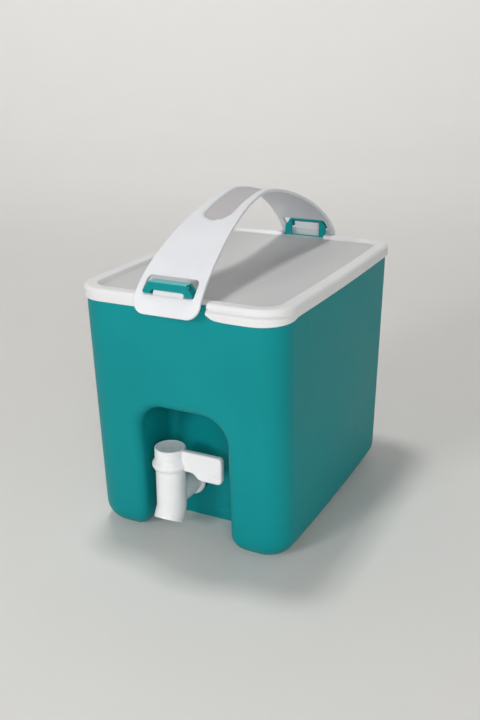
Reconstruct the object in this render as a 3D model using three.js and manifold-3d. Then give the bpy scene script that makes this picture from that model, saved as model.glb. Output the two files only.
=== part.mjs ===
// Rectangular water jug for the fridge or table: a drafted tub with a tap in an alcove,
// a lift-off lid and a flexible carry strap that buttons over a hook at each end.
// Millimetres, +Z up, front at -Y. The origin is the centre of the base.

import * as THREE from 'three';
import { mergeVertices } from 'three/addons/utils/BufferGeometryUtils.js';
import Module from 'manifold-3d';

const wasm = await Module();
wasm.setup();

// ---------------------------------------------------------------- driving dimensions

const fit = 0.4; // gap left between pieces that touch or slide
const seat = 0.3; // gap left between faces that are clamped together

const lid = {
  width: 200, // across X, outside the skirt
  depth: 296, // along Y, outside the skirt
  cornerRadius: 29,
  topEdgeRadius: 3.5,
  bowX: 2.5, // how far the long sides swell outwards
  skirt: 2, // skirt wall
  skirtDrop: 11.2,
  shelf: 2.6, // plastic above the tub's rim
  rimWidth: 12.5, // raised rim round the sunken panel
  panelSink: 4,
  panelThickness: 2.6,
  plugWall: 2.5, // ring that drops inside the rim
  plugDrop: 14,
  pocketSlack: 1.8, // beside the strap in the pocket at each end
};

// Lip moulded on the skirt, from the front pocket round the right corner, to pull the lid off by.
const liftLip = {
  startX: 31,
  reach: 2.4,
  top: 5.4, // below the lid's top
  bottom: 14,
  slope: 2.2,
  root: 0.8, // how deep it sits in the skirt
};

const tub = {
  height: 237, // base to rim
  wall: 2.5,
  floor: 3,
  neck: 18, // straight part below the rim, inside the lid
  draftY: 12.8, // how far the front and back lean in at the base
  baseRadius: 21,
};

const alcove = {
  halfWidth: 44,
  top: 134,
  cornerRadius: 25,
  depth: 67.6, // from the rim's front face to the wall that the tap bolts to
  lipRadius: 9, // rounding where the alcove meets the front
  footRadius: 20, // rounding under the feet beside it
  footSink: 0.6, // how far that rounding runs below the base, so that it meets it at an angle
};

const hook = {
  recess: 0.8, // lip's face, behind the strap tab's face
  halfWidth: 23.5,
  topHalfWidth: 17.5, // the shoulders slant from here to the full width
  shoulderDrop: 8,
  earWidth: 7.5,
  rise: 17.5, // above the tub's rim
  plate: 2.5,
  lip: 2.2,
  lipDrop: 6.9, // bottom of the lip below the hook's top, in the middle
  legDrop: 10.5, // and at its two ends
};

const strap = {
  standoff: 6.5, // outside of each end tab, beyond the lid's end
  springRise: 5, // where the tabs turn into the arch, above the tub's rim
  archRise: 66.6, // crown above that
  archPowerY: 1.2,
  archPowerZ: 1.55,
  halfWidthEnd: 31.2,
  halfWidthGrip: 19.5,
  thickness: 3,
  edgeChamfer: 0.8,
  tabDrop: 12.5,
  tabLean: 0.5, // how far a tab stands out further, for each millimetre down
  tabCorner: 11,
};

const slot = { clearance: 1, topGap: 2, corner: 4 };

const tongue = { halfWidth: 14.5, thickness: 2.3, tipGap: 0.7, lean: 5.5 };

const tap = {
  x: -21, // barrel axis
  standoff: 44, // barrel axis in front of the wall
  inletZ: 39, // axis of the spigot that goes through the wall
  barrelRadius: 14,
  barrelTop: 69,
  bendZ: 31,
  bendDeg: 30, // how far the spout leans forward
  spoutLength: 15,
  spoutBore: 8.5,
  plugBore: 10.6,
  plugFloor: 25,
  inletBore: 6.5,
  threadRadius: 10.4,
  threadReach: 18, // past the inside of the wall
  flangeRadius: 14.6,
  flangeThickness: 4,
};

const washer = { outer: 2.6, inner: 2, radius: 14.6 };
const nut = { flats: 30, thickness: 10 };

const lever = {
  hubRadius: 14.5,
  hubTop: 91,
  collarRadius: 17,
  collarHeight: 8.5,
  reach: 54, // barrel axis to the end of the lever
  thickness: 7,
  armBottom: 70.5,
  armTop: 90,
  paddleBottom: 63.5,
  paddleLength: 23,
  endRadius: 4.5,
};

const plug = { radius: 10, core: 7, port: 6, grooveDepth: 1.6, grooveHeight: 2.4 };
const ring = { wire: 0.8, upperZ: 62, lowerZ: 50 };

const roundSteps = 32; // sides of a round piece
const cornerSteps = 7;
const sideSteps = 4;

// ---------------------------------------------------------------- solids

function solidFrom(geometry) {
  const bare = geometry.clone();
  bare.deleteAttribute('normal');
  bare.deleteAttribute('uv');
  const merged = mergeVertices(bare, 1e-4);
  return new wasm.Manifold(new wasm.Mesh({
    numProp: 3,
    vertProperties: Float32Array.from(merged.attributes.position.array),
    triVerts: Uint32Array.from(merged.index.array),
  }));
}

function geometryFrom(solid) {
  const mesh = solid.getMesh();
  const geometry = new THREE.BufferGeometry();
  geometry.setAttribute('position', new THREE.BufferAttribute(mesh.vertProperties, 3));
  geometry.setIndex(new THREE.BufferAttribute(mesh.triVerts, 1));
  return geometry;
}

// Skin over a row of closed rings with the same number of points, capped at both ends. The first
// point of a ring sees all its others.
function loft(rings) {
  const count = rings[0].length;
  const vertices = rings.flat().flatMap((point) => [point.x, point.y, point.z]);
  const faces = [];
  for (let row = 0; row < rings.length - 1; row += 1) {
    for (let i = 0; i < count; i += 1) {
      const a = row * count + i;
      const b = row * count + ((i + 1) % count);
      faces.push(a, b, b + count, a, b + count, a + count);
    }
  }
  const last = (rings.length - 1) * count;
  for (let i = 1; i < count - 1; i += 1) {
    faces.push(0, i + 1, i);
    faces.push(last, last + i, last + i + 1);
  }
  const geometry = new THREE.BufferGeometry();
  geometry.setAttribute('position', new THREE.Float32BufferAttribute(vertices, 3));
  geometry.setIndex(faces);
  return solidFrom(geometry);
}

function box(minX, maxX, minY, maxY, minZ, maxZ) {
  const geometry = new THREE.BoxGeometry(maxX - minX, maxY - minY, maxZ - minZ);
  geometry.translate((minX + maxX) / 2, (minY + maxY) / 2, (minZ + maxZ) / 2);
  return solidFrom(geometry);
}

// Turned piece about the Z axis: pairs of radius and height, starting and ending on the axis.
function turned(profile) {
  const points = profile.map(([radius, z]) => new THREE.Vector2(radius, z));
  const geometry = new THREE.LatheGeometry(points, roundSteps);
  geometry.rotateX(Math.PI / 2);
  return solidFrom(geometry);
}

function rod(radius, bottom, top) {
  return turned([[0, bottom], [radius, bottom], [radius, top], [0, top]]);
}

// Rod along Y from one y to another, on the tap's inlet axis.
function inletRod(radius, startY, endY) {
  const geometry = new THREE.CylinderGeometry(radius, radius, endY - startY, roundSteps);
  geometry.translate(tap.x, (startY + endY) / 2, tap.inletZ);
  return solidFrom(geometry);
}

// Outline in the XZ plane, pushed through from one y to another.
function pushedAlongY(shape, startY, endY) {
  const geometry = new THREE.ExtrudeGeometry(shape, {
    depth: endY - startY, bevelEnabled: false, curveSegments: cornerSteps,
  });
  geometry.rotateX(Math.PI / 2);
  geometry.translate(0, endY, 0);
  return solidFrom(geometry);
}

// Outline in the YZ plane, pushed through evenly to both sides of x = 0.
function pushedAlongX(points, halfWidth) {
  const shape = new THREE.Shape(points.map(([y, z]) => new THREE.Vector2(y, z)));
  const geometry = new THREE.ExtrudeGeometry(shape, { depth: 2 * halfWidth, bevelEnabled: false });
  geometry.translate(0, 0, -halfWidth);
  geometry.rotateX(Math.PI / 2);
  geometry.rotateZ(Math.PI / 2);
  return solidFrom(geometry);
}

function turnedRound(solid) {
  return solid.rotate([0, 0, 180]);
}

// ---------------------------------------------------------------- outlines in plan

const bodyInset = lid.skirt + fit; // tub's outside, in from the lid's outside
const backWallY = -(lid.depth / 2 - bodyInset) + alcove.depth; // front of the alcove's back wall
const tapY = backWallY - tap.standoff;
const halfSpan = lid.depth / 2 + strap.standoff; // outside of the strap's end tabs
const springZ = tub.height + strap.springRise;

// Rounded rectangle with swelling long sides, set in from the lid's outline, at height z.
function planRing(inset, z, lean = 0) {
  const halfX = lid.width / 2 - inset;
  const halfY = lid.depth / 2 - inset - lean;
  const radius = Math.max(lid.cornerRadius - inset, 3);
  const points = [];
  for (let corner = 0; corner < 4; corner += 1) {
    const start = (corner * Math.PI) / 2;
    const signX = corner === 0 || corner === 3 ? 1 : -1;
    const signY = corner < 2 ? 1 : -1;
    for (let step = 0; step <= cornerSteps; step += 1) {
      const angle = start + (step / cornerSteps) * (Math.PI / 2);
      const x = signX * (halfX - radius) + radius * Math.cos(angle);
      const y = signY * (halfY - radius) + radius * Math.sin(angle);
      points.push(new THREE.Vector3(x, y, z));
    }
  }
  return points.flatMap((point, i) => {
    const next = points[(i + 1) % points.length];
    const steps = i % (cornerSteps + 1) === cornerSteps ? sideSteps : 1;
    return Array.from({ length: steps }, (_, step) => swell(point.clone().lerp(next, step / steps), halfY));
  });
}

function swell(point, halfY) {
  const along = point.y / halfY;
  const share = (1 - along * along) * (lid.bowX / (lid.width / 2));
  point.x *= 1 + share;
  return point;
}

function leanAt(z) {
  return tub.draftY * Math.max(1 - z / (tub.height - tub.neck), 0);
}

function frontAt(z) {
  return -(lid.depth / 2 - bodyInset - leanAt(Math.max(z, 0)));
}

// ---------------------------------------------------------------- tub

// Drafted box with a rounded base: inset 0 is the outside, inset wall the inside.
function tubBlock(inset, bottom, top) {
  const radius = tub.baseRadius - inset;
  const rings = [];
  const steps = 5;
  for (let step = 0; step <= steps; step += 1) {
    const angle = (step / steps) * (Math.PI / 2);
    const z = bottom + radius * (1 - Math.cos(angle));
    const tuck = radius * (1 - Math.sin(angle));
    rings.push(planRing(bodyInset + inset + tuck, z, leanAt(z)));
  }
  for (const z of [tub.height - tub.neck, top]) {
    rings.push(planRing(bodyInset + inset, z, leanAt(z)));
  }
  return loft(rings);
}

// Outline of the alcove at one depth, from the left foot over the arch to the right foot. The
// flare widens it towards the front and fades out under the feet.
function alcoveRing(skin, flare, depthAt) {
  const grow = skin + flare;
  const halfWidth = alcove.halfWidth + grow;
  const radius = alcove.cornerRadius + grow;
  const archZ = alcove.top - alcove.cornerRadius;
  const footX = alcove.halfWidth + alcove.footRadius;
  const footZ = alcove.footRadius - alcove.footSink;
  const below = -10;
  const foot = [];
  const arch = [];
  for (let step = 0; step <= cornerSteps; step += 1) {
    const angle = (step / cornerSteps) * (Math.PI / 2);
    const footRadius = alcove.footRadius - skin - flare * Math.sin(angle);
    foot.push([footX - footRadius * Math.sin(angle), footZ - footRadius * Math.cos(angle)]);
    arch.push([halfWidth - radius + radius * Math.cos(angle), archZ + radius * Math.sin(angle)]);
  }
  const right = [...arch.reverse(), ...foot.reverse(), [footX, below]];
  const left = right.map(([x, z]) => [-x, z]).reverse();
  return [[0, below], ...left, ...right].map(([x, z]) => new THREE.Vector3(x, depthAt(z), z));
}

// The alcove's space, grown by skin on every side: skin 0 is the space that is cut away,
// skin wall is the same space with its plastic.
function alcoveBlock(skin) {
  const outermost = frontAt(alcove.top) - 30;
  const round = alcove.lipRadius - skin;
  const steps = 4;
  const rings = [alcoveRing(skin, round, () => outermost)];
  for (let step = steps; step >= 0; step -= 1) {
    const angle = (step / steps) * (Math.PI / 2);
    const setBack = alcove.lipRadius - round * Math.sin(angle);
    rings.push(alcoveRing(skin, round * (1 - Math.cos(angle)), (z) => frontAt(z) + setBack));
  }
  rings.push(alcoveRing(skin, 0, () => backWallY + skin));
  return loft(rings);
}

const hookTop = tub.height + hook.rise;
const wallFront = frontAt(tub.height); // outside of the tub's front wall at the rim
const lipFront = -(halfSpan - hook.recess);
const lipBack = lipFront + hook.lip;

// One half of the hook seen from the front, with a slanted shoulder.
function hookHalf(side, nearHalf, bottom) {
  const { halfWidth, topHalfWidth, shoulderDrop } = hook;
  const points = [
    [nearHalf, bottom], [halfWidth, bottom], [halfWidth, hookTop - shoulderDrop],
    [topHalfWidth, hookTop], [nearHalf, hookTop],
  ].map(([x, z]) => new THREE.Vector2(side * x, z));
  return new THREE.Shape(side > 0 ? points : points.reverse());
}

// Hook that the strap buttons over: two ears rise from the rim, a plate reaches out over the
// tongue, and a lip with longer ends hangs in front of it.
function frontHook() {
  const inner = hook.halfWidth - hook.earWidth;
  const plateBottom = hookTop - hook.plate;
  const overlap = 4;
  const wallBack = wallFront + tub.wall;
  const { topHalfWidth } = hook;
  let solid = box(-topHalfWidth, topHalfWidth, lipFront, wallBack, plateBottom, hookTop);
  solid = solid.add(box(-inner - 1, inner + 1, lipFront, lipBack, hookTop - hook.lipDrop, hookTop));
  for (const side of [-1, 1]) {
    const ear = hookHalf(side, inner, tub.height - overlap);
    const leg = hookHalf(side, inner, hookTop - hook.legDrop);
    solid = solid.add(pushedAlongY(ear, wallFront, wallBack));
    solid = solid.add(pushedAlongY(leg, lipFront, lipBack));
  }
  return solid;
}

function tubSolid() {
  const inside = tubBlock(tub.wall, tub.floor, tub.height + 5).subtract(alcoveBlock(tub.wall));
  const hole = inletRod(tap.threadRadius + fit, backWallY - 5, backWallY + tub.wall + 5);
  const rearHook = turnedRound(frontHook());
  return tubBlock(0, 0, tub.height)
    .subtract(alcoveBlock(0))
    .subtract(inside)
    .subtract(hole)
    .add(frontHook())
    .add(rearHook);
}

// ---------------------------------------------------------------- lid

const lidTop = tub.height + fit + lid.shelf;
const plugInset = bodyInset + tub.wall + fit; // outside of the ring that drops into the tub

function lidPlate(inset, bottom, top) {
  return loft([planRing(inset, bottom), planRing(inset, top)]);
}

function lidBlank() {
  const steps = 3;
  const rings = [planRing(0, lidTop - lid.skirtDrop)];
  for (let step = 0; step <= steps; step += 1) {
    const angle = (step / steps) * (Math.PI / 2);
    const inset = lid.topEdgeRadius * (1 - Math.cos(angle));
    rings.push(planRing(inset, lidTop - lid.topEdgeRadius * (1 - Math.sin(angle))));
  }
  return loft(rings);
}

// Room for the strap and the hook: the skirt stops short, and the rim has a lower notch.
function lidPocket() {
  const pocketHalf = strap.halfWidthEnd + lid.pocketSlack;
  const notchHalf = hook.halfWidth;
  const edge = -lid.depth / 2;
  const floor = edge + plugInset;
  const panelTop = lidTop - lid.panelSink;
  const below = lidTop - lid.plugDrop - 5;
  const pocket = box(-pocketHalf, pocketHalf, edge - 5, floor, below, lidTop + 5);
  return pocket.add(box(-notchHalf, notchHalf, floor - 1, edge + lid.rimWidth + 2, panelTop, lidTop + 5));
}

// Skin over sections that follow the skirt from the front pocket round the right corner.
function liftLipSolid() {
  const path = planRing(0, 0).filter((point) => (
    point.x > lid.width / 2 - lid.cornerRadius - 1 && point.y < lid.cornerRadius + 1 - lid.depth / 2
  ));
  path.unshift(new THREE.Vector3(liftLip.startX, -lid.depth / 2, 0));
  return loft(path.map((point, i) => {
    const before = path[Math.max(i - 1, 0)];
    const after = path[Math.min(i + 1, path.length - 1)];
    const outward = new THREE.Vector2(after.y - before.y, before.x - after.x).normalize();
    const share = 1 - (i / (path.length - 1)) ** 3;
    const reach = liftLip.reach * share;
    const top = liftLip.top * share + (lid.skirtDrop - liftLip.slope) * (1 - share);
    const bottom = (lid.skirtDrop - 0.5) * (1 - share) + liftLip.bottom * share;
    const section = [[-liftLip.root, top], [reach, top + liftLip.slope], [reach, bottom], [-liftLip.root, bottom]];
    return section.map(([out, drop]) => (
      new THREE.Vector3(point.x + outward.x * out, point.y + outward.y * out, lidTop - drop)
    ));
  }));
}

function lidSolid() {
  const panelTop = lidTop - lid.panelSink;
  const panelBottom = panelTop - lid.panelThickness;
  const ceiling = lidTop - lid.shelf;
  const plugBottom = lidTop - lid.plugDrop;
  const plugRing = lidPlate(plugInset, plugBottom, ceiling + 1)
    .subtract(lidPlate(plugInset + lid.plugWall, plugBottom - 1, ceiling + 2));
  return lidBlank()
    .subtract(lidPlate(lid.skirt, lidTop - lid.skirtDrop - 1, ceiling))
    .add(lidPlate(plugInset, panelBottom, ceiling + 1))
    .subtract(lidPlate(lid.rimWidth, panelTop, lidTop + 5))
    .add(plugRing)
    .subtract(lidPocket())
    .subtract(turnedRound(lidPocket()))
    .add(liftLipSolid());
}

// ---------------------------------------------------------------- carry strap

// Outside of the arch at an angle from 0 at the front tab to pi at the rear tab.
function archPoint(angle) {
  const across = Math.cos(angle);
  const up = Math.sin(angle);
  const y = -halfSpan * Math.sign(across) * Math.abs(across) ** strap.archPowerY;
  const z = springZ + strap.archRise * Math.max(up, 0) ** strap.archPowerZ;
  const narrowing = (strap.halfWidthEnd - strap.halfWidthGrip) * Math.max(up, 0) ** 3;
  return { y, z, halfWidth: strap.halfWidthEnd - narrowing };
}

function tabPoint(drop, side) {
  const fromEnd = strap.tabDrop - drop;
  const over = Math.max(strap.tabCorner - fromEnd, 0);
  const cut = strap.tabCorner - Math.sqrt(strap.tabCorner ** 2 - over ** 2);
  const y = side * (halfSpan + strap.tabLean * drop);
  return { y, z: springZ - drop, halfWidth: strap.halfWidthEnd - cut };
}

function strapCentreLine() {
  const tabDrops = [0.995, 0.93, 0.8, 0.62, 0.31].map((share) => share * strap.tabDrop);
  const archSteps = 30;
  const line = tabDrops.map((drop) => tabPoint(drop, -1));
  for (let step = 0; step <= archSteps; step += 1) {
    line.push(archPoint((step / archSteps) * Math.PI));
  }
  return line.concat(tabDrops.reverse().map((drop) => tabPoint(drop, 1)));
}

function strapRing(line, i) {
  const here = line[i];
  const before = line[Math.max(i - 1, 0)];
  const after = line[Math.min(i + 1, line.length - 1)];
  const along = new THREE.Vector2(after.y - before.y, after.z - before.z).normalize();
  const inward = new THREE.Vector2(along.y, -along.x);
  const { halfWidth } = here;
  const { thickness, edgeChamfer } = strap;
  const section = [
    [-halfWidth + edgeChamfer, 0], [halfWidth - edgeChamfer, 0],
    [halfWidth, edgeChamfer], [halfWidth, thickness - edgeChamfer],
    [halfWidth - edgeChamfer, thickness], [-halfWidth + edgeChamfer, thickness],
    [-halfWidth, thickness - edgeChamfer], [-halfWidth, edgeChamfer],
  ];
  return section.map(([x, depth]) => (
    new THREE.Vector3(x, here.y + inward.x * depth, here.z + inward.y * depth)
  ));
}

function slotCutter() {
  const halfWidth = hook.halfWidth + slot.clearance;
  const bottom = hookTop - hook.legDrop - slot.clearance;
  const top = hookTop + slot.topGap;
  const shape = new THREE.Shape();
  shape.moveTo(-halfWidth, bottom);
  shape.lineTo(halfWidth, bottom);
  shape.lineTo(halfWidth, top - slot.corner);
  shape.absarc(halfWidth - slot.corner, top - slot.corner, slot.corner, 0, Math.PI / 2, false);
  shape.absarc(-halfWidth + slot.corner, top - slot.corner, slot.corner, Math.PI / 2, Math.PI, false);
  return pushedAlongY(shape, -halfSpan - 10, wallFront + 10);
}

// Tongue that tucks up behind the hook's lip and keeps the strap buttoned.
function frontTongue() {
  const outer = -halfSpan + 0.1;
  const root = springZ - 1;
  const tip = hookTop - hook.plate - tongue.tipGap;
  return pushedAlongX([
    [outer, root],
    [outer + strap.thickness - 0.2, root],
    [outer + tongue.lean + tongue.thickness, tip - 0.9],
    [outer + tongue.lean, tip],
  ], tongue.halfWidth);
}

function strapSolid() {
  const line = strapCentreLine();
  return loft(line.map((_, i) => strapRing(line, i)))
    .subtract(slotCutter())
    .subtract(turnedRound(slotCutter()))
    .add(frontTongue())
    .add(turnedRound(frontTongue()));
}

// ---------------------------------------------------------------- tap

const washerFace = backWallY - seat;
const flangeFace = washerFace - washer.outer - seat;
const insideWall = backWallY + tub.wall;

function onTapAxis(solid) {
  return solid.translate([tap.x, tapY, 0]);
}

// Slanted tube below the barrel, leaning towards the front.
function spoutTube(radius, from, to) {
  const lean = new THREE.Matrix4().makeRotationX((-tap.bendDeg * Math.PI) / 180);
  const geometry = new THREE.CylinderGeometry(radius, radius, to - from, roundSteps);
  geometry.rotateX(Math.PI / 2);
  geometry.translate(0, 0, -(from + to) / 2);
  geometry.applyMatrix4(lean);
  geometry.translate(tap.x, tapY, tap.bendZ);
  return solidFrom(geometry);
}

function tapBodySolid() {
  const threadEnd = insideWall + tap.threadReach;
  const barrel = onTapAxis(rod(tap.barrelRadius, tap.bendZ, tap.barrelTop));
  const knee = solidFrom(new THREE.SphereGeometry(tap.barrelRadius, roundSteps, 16)
    .rotateX(Math.PI / 2)
    .translate(tap.x, tapY, tap.bendZ));
  return barrel
    .add(knee)
    .add(spoutTube(tap.barrelRadius, 0, tap.spoutLength))
    .add(inletRod(tap.threadRadius, tapY, threadEnd))
    .add(inletRod(tap.flangeRadius, flangeFace - tap.flangeThickness, flangeFace))
    .subtract(onTapAxis(rod(tap.plugBore, tap.plugFloor, tap.barrelTop + 5)))
    .subtract(spoutTube(tap.spoutBore, -4, tap.spoutLength + 5))
    .subtract(inletRod(tap.inletBore, tapY, threadEnd + 5));
}

function washerSolid(startY, endY) {
  return inletRod(washer.radius, startY, endY)
    .subtract(inletRod(tap.threadRadius + fit, startY - 1, endY + 1));
}

function nutSolid(startY) {
  const geometry = new THREE.CylinderGeometry(nut.flats / Math.sqrt(3), nut.flats / Math.sqrt(3), nut.thickness, 6);
  geometry.translate(tap.x, startY + nut.thickness / 2, tap.inletZ);
  return solidFrom(geometry)
    .subtract(inletRod(tap.threadRadius + fit, startY - 1, startY + nut.thickness + 1));
}

// ---------------------------------------------------------------- lever and plug

const hubBottom = tap.barrelTop + fit;

function hubAndPlug() {
  const { hubRadius, hubTop, collarRadius, collarHeight } = lever;
  const waist = hubBottom + collarHeight;
  const inner = plug.radius - plug.grooveDepth;
  const half = plug.grooveHeight / 2;
  const plugBottom = tap.plugFloor + fit;
  const profile = [[0, plugBottom], [plug.radius, plugBottom]];
  for (const z of [ring.lowerZ, ring.upperZ]) {
    profile.push([plug.radius, z - half], [inner, z - half], [inner, z + half], [plug.radius, z + half]);
  }
  profile.push(
    [plug.radius, hubBottom], [collarRadius - 1.5, hubBottom], [collarRadius, hubBottom + 2],
    [collarRadius, waist - 4], [collarRadius - 1, waist - 1.5], [hubRadius, waist],
    [hubRadius, hubTop - 1.5], [hubRadius - 1.5, hubTop], [0, hubTop],
  );
  return turned(profile);
}

// Flat upright arm with a deeper paddle at its end, in the XZ plane of the tap's axis.
function leverArm() {
  const shoulder = lever.reach - lever.paddleLength;
  const shape = new THREE.Shape();
  shape.moveTo(0, lever.armTop);
  shape.lineTo(0, lever.armBottom);
  shape.lineTo(shoulder - 12, lever.armBottom);
  shape.quadraticCurveTo(shoulder - 5, lever.armBottom, shoulder - 1, lever.paddleBottom + 2);
  shape.lineTo(shoulder + 3, lever.paddleBottom);
  shape.lineTo(lever.reach - lever.endRadius, lever.paddleBottom);
  shape.absarc(lever.reach - lever.endRadius, lever.paddleBottom + lever.endRadius, lever.endRadius,
    -Math.PI / 2, 0, false);
  shape.absarc(lever.reach - lever.endRadius, lever.armTop - lever.endRadius, lever.endRadius,
    0, Math.PI / 2, false);
  return pushedAlongY(shape, -lever.thickness / 2, lever.thickness / 2);
}

// Water runs through a side port, down the hollow core and out of the spout.
function waterWay() {
  const core = rod(plug.core, tap.plugFloor - 5, tap.inletZ + plug.port + 2);
  const port = new THREE.CylinderGeometry(plug.port, plug.port, plug.radius + 5, roundSteps);
  port.rotateZ(Math.PI / 2);
  port.translate(-(plug.radius + 5) / 2, 0, tap.inletZ);
  return core.add(solidFrom(port));
}

function leverSolid() {
  return onTapAxis(hubAndPlug().add(leverArm()).subtract(waterWay()));
}

function sealRing(z) {
  const middle = plug.radius - plug.grooveDepth + fit / 2 + ring.wire + 0.1;
  const geometry = new THREE.TorusGeometry(middle, ring.wire, 8, roundSteps);
  geometry.translate(tap.x, tapY, z);
  return solidFrom(geometry);
}

// ---------------------------------------------------------------- pieces

const finishes = {
  teal: { color: 0x0b9499, roughness: 0.42, metalness: 0 },
  white: { color: 0xe6e7ea, roughness: 0.38, metalness: 0 },
  softWhite: { color: 0xdfe2e8, roughness: 0.55, metalness: 0 },
  rubber: { color: 0x2b2d30, roughness: 0.8, metalness: 0 },
};

function piece(name, solid, finish) {
  const mesh = new THREE.Mesh(geometryFrom(solid), new THREE.MeshStandardMaterial(finishes[finish]));
  mesh.name = name;
  return mesh;
}

const innerWasherStart = insideWall + seat;
const nutStart = innerWasherStart + washer.inner + seat;

const jug = new THREE.Group();
jug.add(
  piece('tub', tubSolid(), 'teal'),
  piece('lid', lidSolid(), 'white'),
  piece('carry_strap', strapSolid(), 'softWhite'),
  piece('tap_body', tapBodySolid(), 'white'),
  piece('tap_outer_washer', washerSolid(washerFace - washer.outer, washerFace), 'rubber'),
  piece('tap_inner_washer', washerSolid(innerWasherStart, innerWasherStart + washer.inner), 'rubber'),
  piece('tap_lock_nut', nutSolid(nutStart), 'white'),
  piece('tap_lever', leverSolid(), 'white'),
  piece('plug_ring_upper', sealRing(ring.upperZ), 'rubber'),
  piece('plug_ring_lower', sealRing(ring.lowerZ), 'rubber'),
);

export default jug;
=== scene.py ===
import math

import bmesh
import bpy
from mathutils import Matrix, Vector


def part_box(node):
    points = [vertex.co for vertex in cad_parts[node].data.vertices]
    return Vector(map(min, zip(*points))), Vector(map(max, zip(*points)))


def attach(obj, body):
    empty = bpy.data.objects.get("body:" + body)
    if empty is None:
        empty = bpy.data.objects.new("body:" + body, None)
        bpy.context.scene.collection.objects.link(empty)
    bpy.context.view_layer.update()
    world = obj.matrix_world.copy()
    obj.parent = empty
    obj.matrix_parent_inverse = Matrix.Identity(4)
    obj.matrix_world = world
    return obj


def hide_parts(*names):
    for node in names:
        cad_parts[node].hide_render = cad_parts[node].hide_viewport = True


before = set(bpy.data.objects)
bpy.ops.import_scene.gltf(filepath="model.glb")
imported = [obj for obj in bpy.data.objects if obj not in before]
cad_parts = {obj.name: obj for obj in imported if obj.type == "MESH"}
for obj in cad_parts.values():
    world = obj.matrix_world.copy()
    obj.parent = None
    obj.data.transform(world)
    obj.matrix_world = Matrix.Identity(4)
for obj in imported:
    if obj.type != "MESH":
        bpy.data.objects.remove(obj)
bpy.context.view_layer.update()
scene = bpy.context.scene
mm = 0.001


def cadEdges(node):
    # lowest and highest corner of a CAD node, in millimetres
    low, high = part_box(node)
    return low / mm, high / mm


# measures that several pieces share, in millimetres
lidHigh = cadEdges("lid")[1]
tubHigh = cadEdges("tub")[1]
strapLow, strapHigh = cadEdges("carry_strap")
leverLow, leverHigh = cadEdges("tap_lever")

bodyPlan = {
    "bow": 2.5,  # swell of the long sides
    "corner": 29.0,
    "inset": 2.4,  # tub's wall, in from the lid's outline
    "cornerSteps": 16,
    "sideSteps": 52,
    "collarRadius": 17.0,  # round the lever's hub, over the tap's barrel
    "inletZ": 39.0,  # height of the tap's spigot
}
lidTop = lidHigh.z
lidHalfX = lidHigh.x - bodyPlan["bow"]
lidHalfY = lidHigh.y
hookTop = tubHigh.z
tapX = leverLow.x + bodyPlan["collarRadius"]  # barrel's axis, from the collar's left and front edges
tapY = leverLow.y + bodyPlan["collarRadius"]
barrelAxis = (tapX, tapY)
spigotAxis = (tapX, bodyPlan["inletZ"])  # seen from the front


def newObject(name, points, faces):
    mesh = bpy.data.meshes.new(name)
    mesh.from_pydata([Vector(p) * mm for p in points], [], faces)
    made = bpy.data.objects.new(name, mesh)
    scene.collection.objects.link(made)
    return made


def faceOutwards(made):
    work = bmesh.new()
    work.from_mesh(made.data)
    bmesh.ops.remove_doubles(work, verts=work.verts, dist=1e-6)
    bmesh.ops.recalc_face_normals(work, faces=work.faces)
    work.to_mesh(made.data)
    work.free()
    return made


def loft(name, rings, looped=False):
    # skin over rings with the same number of points, with end caps unless it is looped
    count = len(rings[0])
    rows = len(rings) if looped else len(rings) - 1
    faces = []
    for row in range(rows):
        below, above = row * count, ((row + 1) % len(rings)) * count
        for i in range(count):
            j = (i + 1) % count
            faces.append((below + i, below + j, above + j, above + i))
    if not looped:
        last = rows * count
        faces.append(tuple(reversed(range(count))))
        faces.append(tuple(range(last, last + count)))
    return faceOutwards(newObject(name, [p for ring in rings for p in ring], faces))


def lathe(name, profile, centre):
    # closed profile of radius and height, turned about an upright axis
    rings = []
    for angle in wholeTurn(72):
        rings.append([
            (centre[0] + r * math.cos(angle), centre[1] + r * math.sin(angle), z) for r, z in profile
        ])
    return loft(name, rings, looped=True)


def block(name, low, high, bevel):
    xs, ys, zs = zip(low, high)
    points = [(x, y, z) for z in zs for y in ys for x in xs]
    faces = [(0, 2, 3, 1), (4, 5, 7, 6), (0, 1, 5, 4), (2, 6, 7, 3), (0, 4, 6, 2), (1, 3, 7, 5)]
    return roundEdges(faceOutwards(newObject(name, points, faces)), bevel)


def extrude(name, shape, start, end, along="y"):
    # flat outline of two coordinates, pushed along one axis
    place = {
        "x": lambda a, b, t: (t, a, b),
        "y": lambda a, b, t: (a, t, b),
        "z": lambda a, b, t: (a, b, t),
    }[along]
    return loft(name, [[place(a, b, t) for a, b in shape] for t in (start, end)])


def rod(name, radius, start, end, at, along="y"):
    # round bar along one axis, at two coordinates on the other axes
    shape = [(at[0] + radius * math.cos(a), at[1] + radius * math.sin(a)) for a in wholeTurn(64)]
    return extrude(name, shape, start, end, along)


def ball(name, radius, centre):
    steps = 48
    rings = []
    for row in range(1, steps // 2):
        angle = math.pi * row / (steps // 2)
        r, z = radius * math.sin(angle), centre[2] + radius * math.cos(angle)
        rings.append([
            (centre[0] + r * math.cos(a), centre[1] + r * math.sin(a), z) for a in wholeTurn(steps)
        ])
    return loft(name, rings)


def applyAll(made):
    depsgraph = bpy.context.evaluated_depsgraph_get()
    result = bpy.data.meshes.new_from_object(
        made.evaluated_get(depsgraph), preserve_all_data_layers=True, depsgraph=depsgraph)
    made.modifiers.clear()
    made.data = result
    result.name = made.name
    return made


def roundEdges(made, width, segments=3, angle=35):
    bevel = made.modifiers.new("round", "BEVEL")
    bevel.width = width * mm
    bevel.segments = segments
    bevel.limit_method = "ANGLE"
    bevel.angle_limit = math.radians(angle)
    bevel.use_clamp_overlap = True
    return applyAll(made)


def combine(made, tool, how):
    cut = made.modifiers.new("combine", "BOOLEAN")
    cut.operation = how
    cut.object = tool
    cut.solver = "EXACT"
    applyAll(made)
    bpy.data.objects.remove(tool)
    return made


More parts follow.
